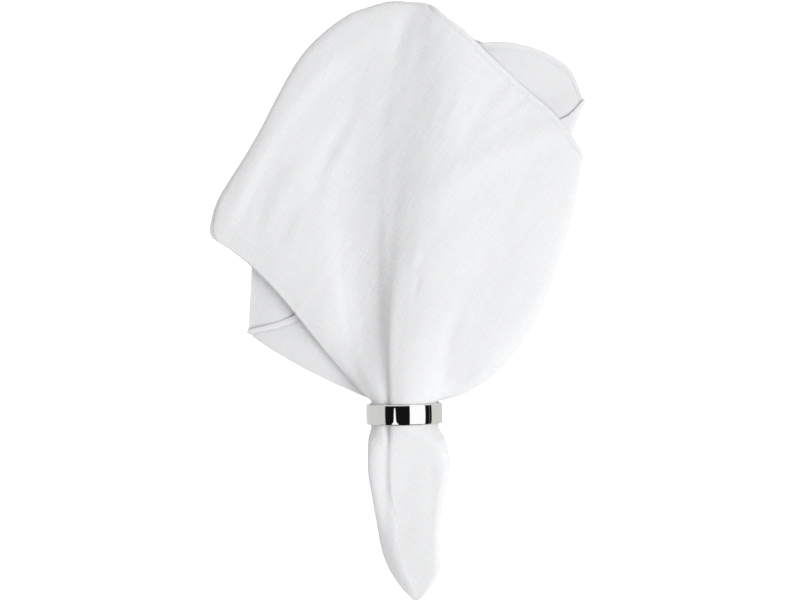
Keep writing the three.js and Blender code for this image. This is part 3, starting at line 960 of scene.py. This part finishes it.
def buildStudio():
    look = studioLook
    world = bpy.data.worlds.new("studio")
    bpy.context.scene.world = world
    world.use_nodes = True
    tree = world.node_tree
    tree.nodes.clear()
    place = addNode(tree, "ShaderNodeTexCoord", (-700, -100))
    split = addNode(tree, "ShaderNodeSeparateXYZ", (-500, -100))
    join(tree, (place.outputs["Generated"], split.inputs[0]))
    y = split.outputs["Y"]
    angle = calc(tree, "ARCTAN2", split.outputs["X"], split.outputs["Z"], at=(-300, -100))
    bands = addNode(tree, "ShaderNodeValToRGB", (100, -100))
    fillRamp(bands, [((degrees + 180) / 360, bright) for degrees, bright in look["bands"]])
    join(tree, (remap(tree, angle, (-math.pi, math.pi), (0.0, 1.0), at=(-100, -100)), bands.inputs[0]))

    reach, widest = look["slitReach"], look["slitWidest"]
    widths = addNode(tree, "ShaderNodeValToRGB", (-100, -500))
    rows = [((side + reach) / (2 * reach), degrees / widest) for side, degrees in look["slitWidths"]]
    fillRamp(widths, rows)
    join(tree, (remap(tree, y, (-reach, reach), (0.0, 1.0), at=(-300, -400)), widths.inputs[0]))
    half = calc(tree, "MULTIPLY", widths.outputs["Color"], math.radians(widest), at=(150, -500))
    aside = calc(tree, "ADD", angle, -math.radians(look["slitMiddle"]), at=(-100, -300))
    aside = calc(tree, "SUBTRACT", calc(tree, "ABSOLUTE", aside, at=(50, -300)), half, at=(200, -300))
    slit = remap(tree, aside, (0.0, -look["slitSoft"]), (0.0, look["slitBright"]), at=(350, -300))
    rimY, footY, soft = look["rimY"], look["footY"], look["softY"]
    rim = remap(tree, y, (rimY - soft, rimY), (0.0, look["rimBright"]), at=(350, -450))
    foot = remap(tree, y, (footY, footY - soft), (1.0, look["footBright"]), at=(350, -600))
    light = calc(tree, "MAXIMUM", bands.outputs["Color"], slit, at=(550, -200))
    light = calc(tree, "MAXIMUM", light, rim, at=(550, -350))
    light = calc(tree, "MULTIPLY", light, foot, at=(700, -300))

    fill = addNode(tree, "ShaderNodeBackground", (400, 100))
    setInputs(fill, {"Color": (1, 1, 1, 1), "Strength": look["fill"]})
    mirrored = addNode(tree, "ShaderNodeBackground", (850, -100))
    ray = addNode(tree, "ShaderNodeLightPath", (300, 400))
    mix = addNode(tree, "ShaderNodeMixShader", (1000, 0))
    out = addNode(tree, "ShaderNodeOutputWorld", (1200, 0))
    join(
        tree, (light, mirrored.inputs["Color"]), (ray.outputs["Is Glossy Ray"], mix.inputs[0]),
        (fill.outputs[0], mix.inputs[1]), (mirrored.outputs[0], mix.inputs[2]),
        (mix.outputs[0], out.inputs["Surface"]),
    )


cameraPlace = {
    "height": 1336.0,         # straight above the middle of the part
    "measuredAt": 20.0,       # the height of the folds, where a pixel is this long
    "pixel": 0.585,
    "halfWidth": 400,         # of the picture, in pixels
}


def buildCamera():
    camera = bpy.data.cameras.new("camera")
    camera.sensor_fit = "HORIZONTAL"
    distance = cameraPlace["height"] - cameraPlace["measuredAt"]
    camera.angle = 2 * math.atan(cameraPlace["halfWidth"] * cameraPlace["pixel"] / distance)
    eye = bpy.data.objects.new("camera", camera)
    eye.location = (0, 0, cameraPlace["height"] * mm)
    bpy.context.scene.collection.objects.link(eye)
    bpy.context.scene.camera = eye


streakShader = streakGroup()
cloth, clothSides, clothFromHem = buildNapkin()
cloth.data.materials.append(linenMaterial())
stitches = buildStitches(clothSides, clothFromHem, threadMaterial())
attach(cloth, "root")
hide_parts("napkin")
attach(stitches, "root")

ring = buildRing()
ring.data.materials.append(steelMaterial())
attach(ring, "root")
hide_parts("napkin_ring")

buildFloor()
buildLamp()
buildStudio()
buildCamera()
bpy.context.scene.view_settings.view_transform = "Standard"
print("stage: floor, lamp, studio and camera")
